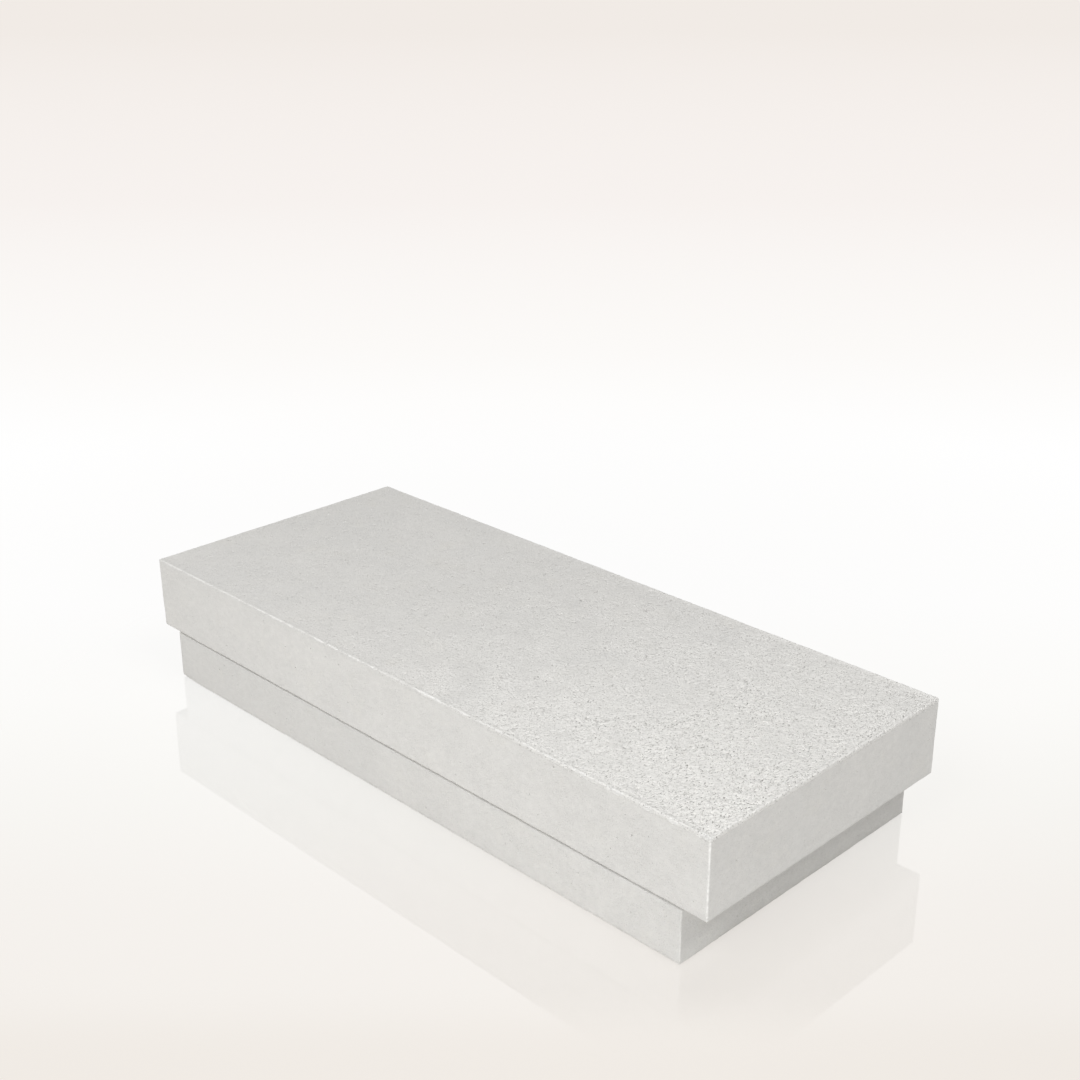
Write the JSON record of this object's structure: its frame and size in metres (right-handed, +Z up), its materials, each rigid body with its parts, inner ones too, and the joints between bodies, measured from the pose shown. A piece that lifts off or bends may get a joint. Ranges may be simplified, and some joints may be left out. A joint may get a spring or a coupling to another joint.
{
  "type": "aerated concrete ceiling block",
  "caption": "Flat pale grey aerated concrete block with stepped ends, an infill unit whose overhanging slab ends rest on the flanges of floor beams to close a ceiling.",
  "frame": {"origin": "centre of the underside, on the surface the block lies on", "axes": "+X along the block's length, from beam to beam; +Y across its width, along the beams; +Z up"},
  "size_m": [0.6, 0.25, 0.103],
  "materials": {
    "aerated_concrete": "matte"
  },
  "bodies": {
    "root": {"ceiling_block": "aerated_concrete"}
  },
  "joints": []
}
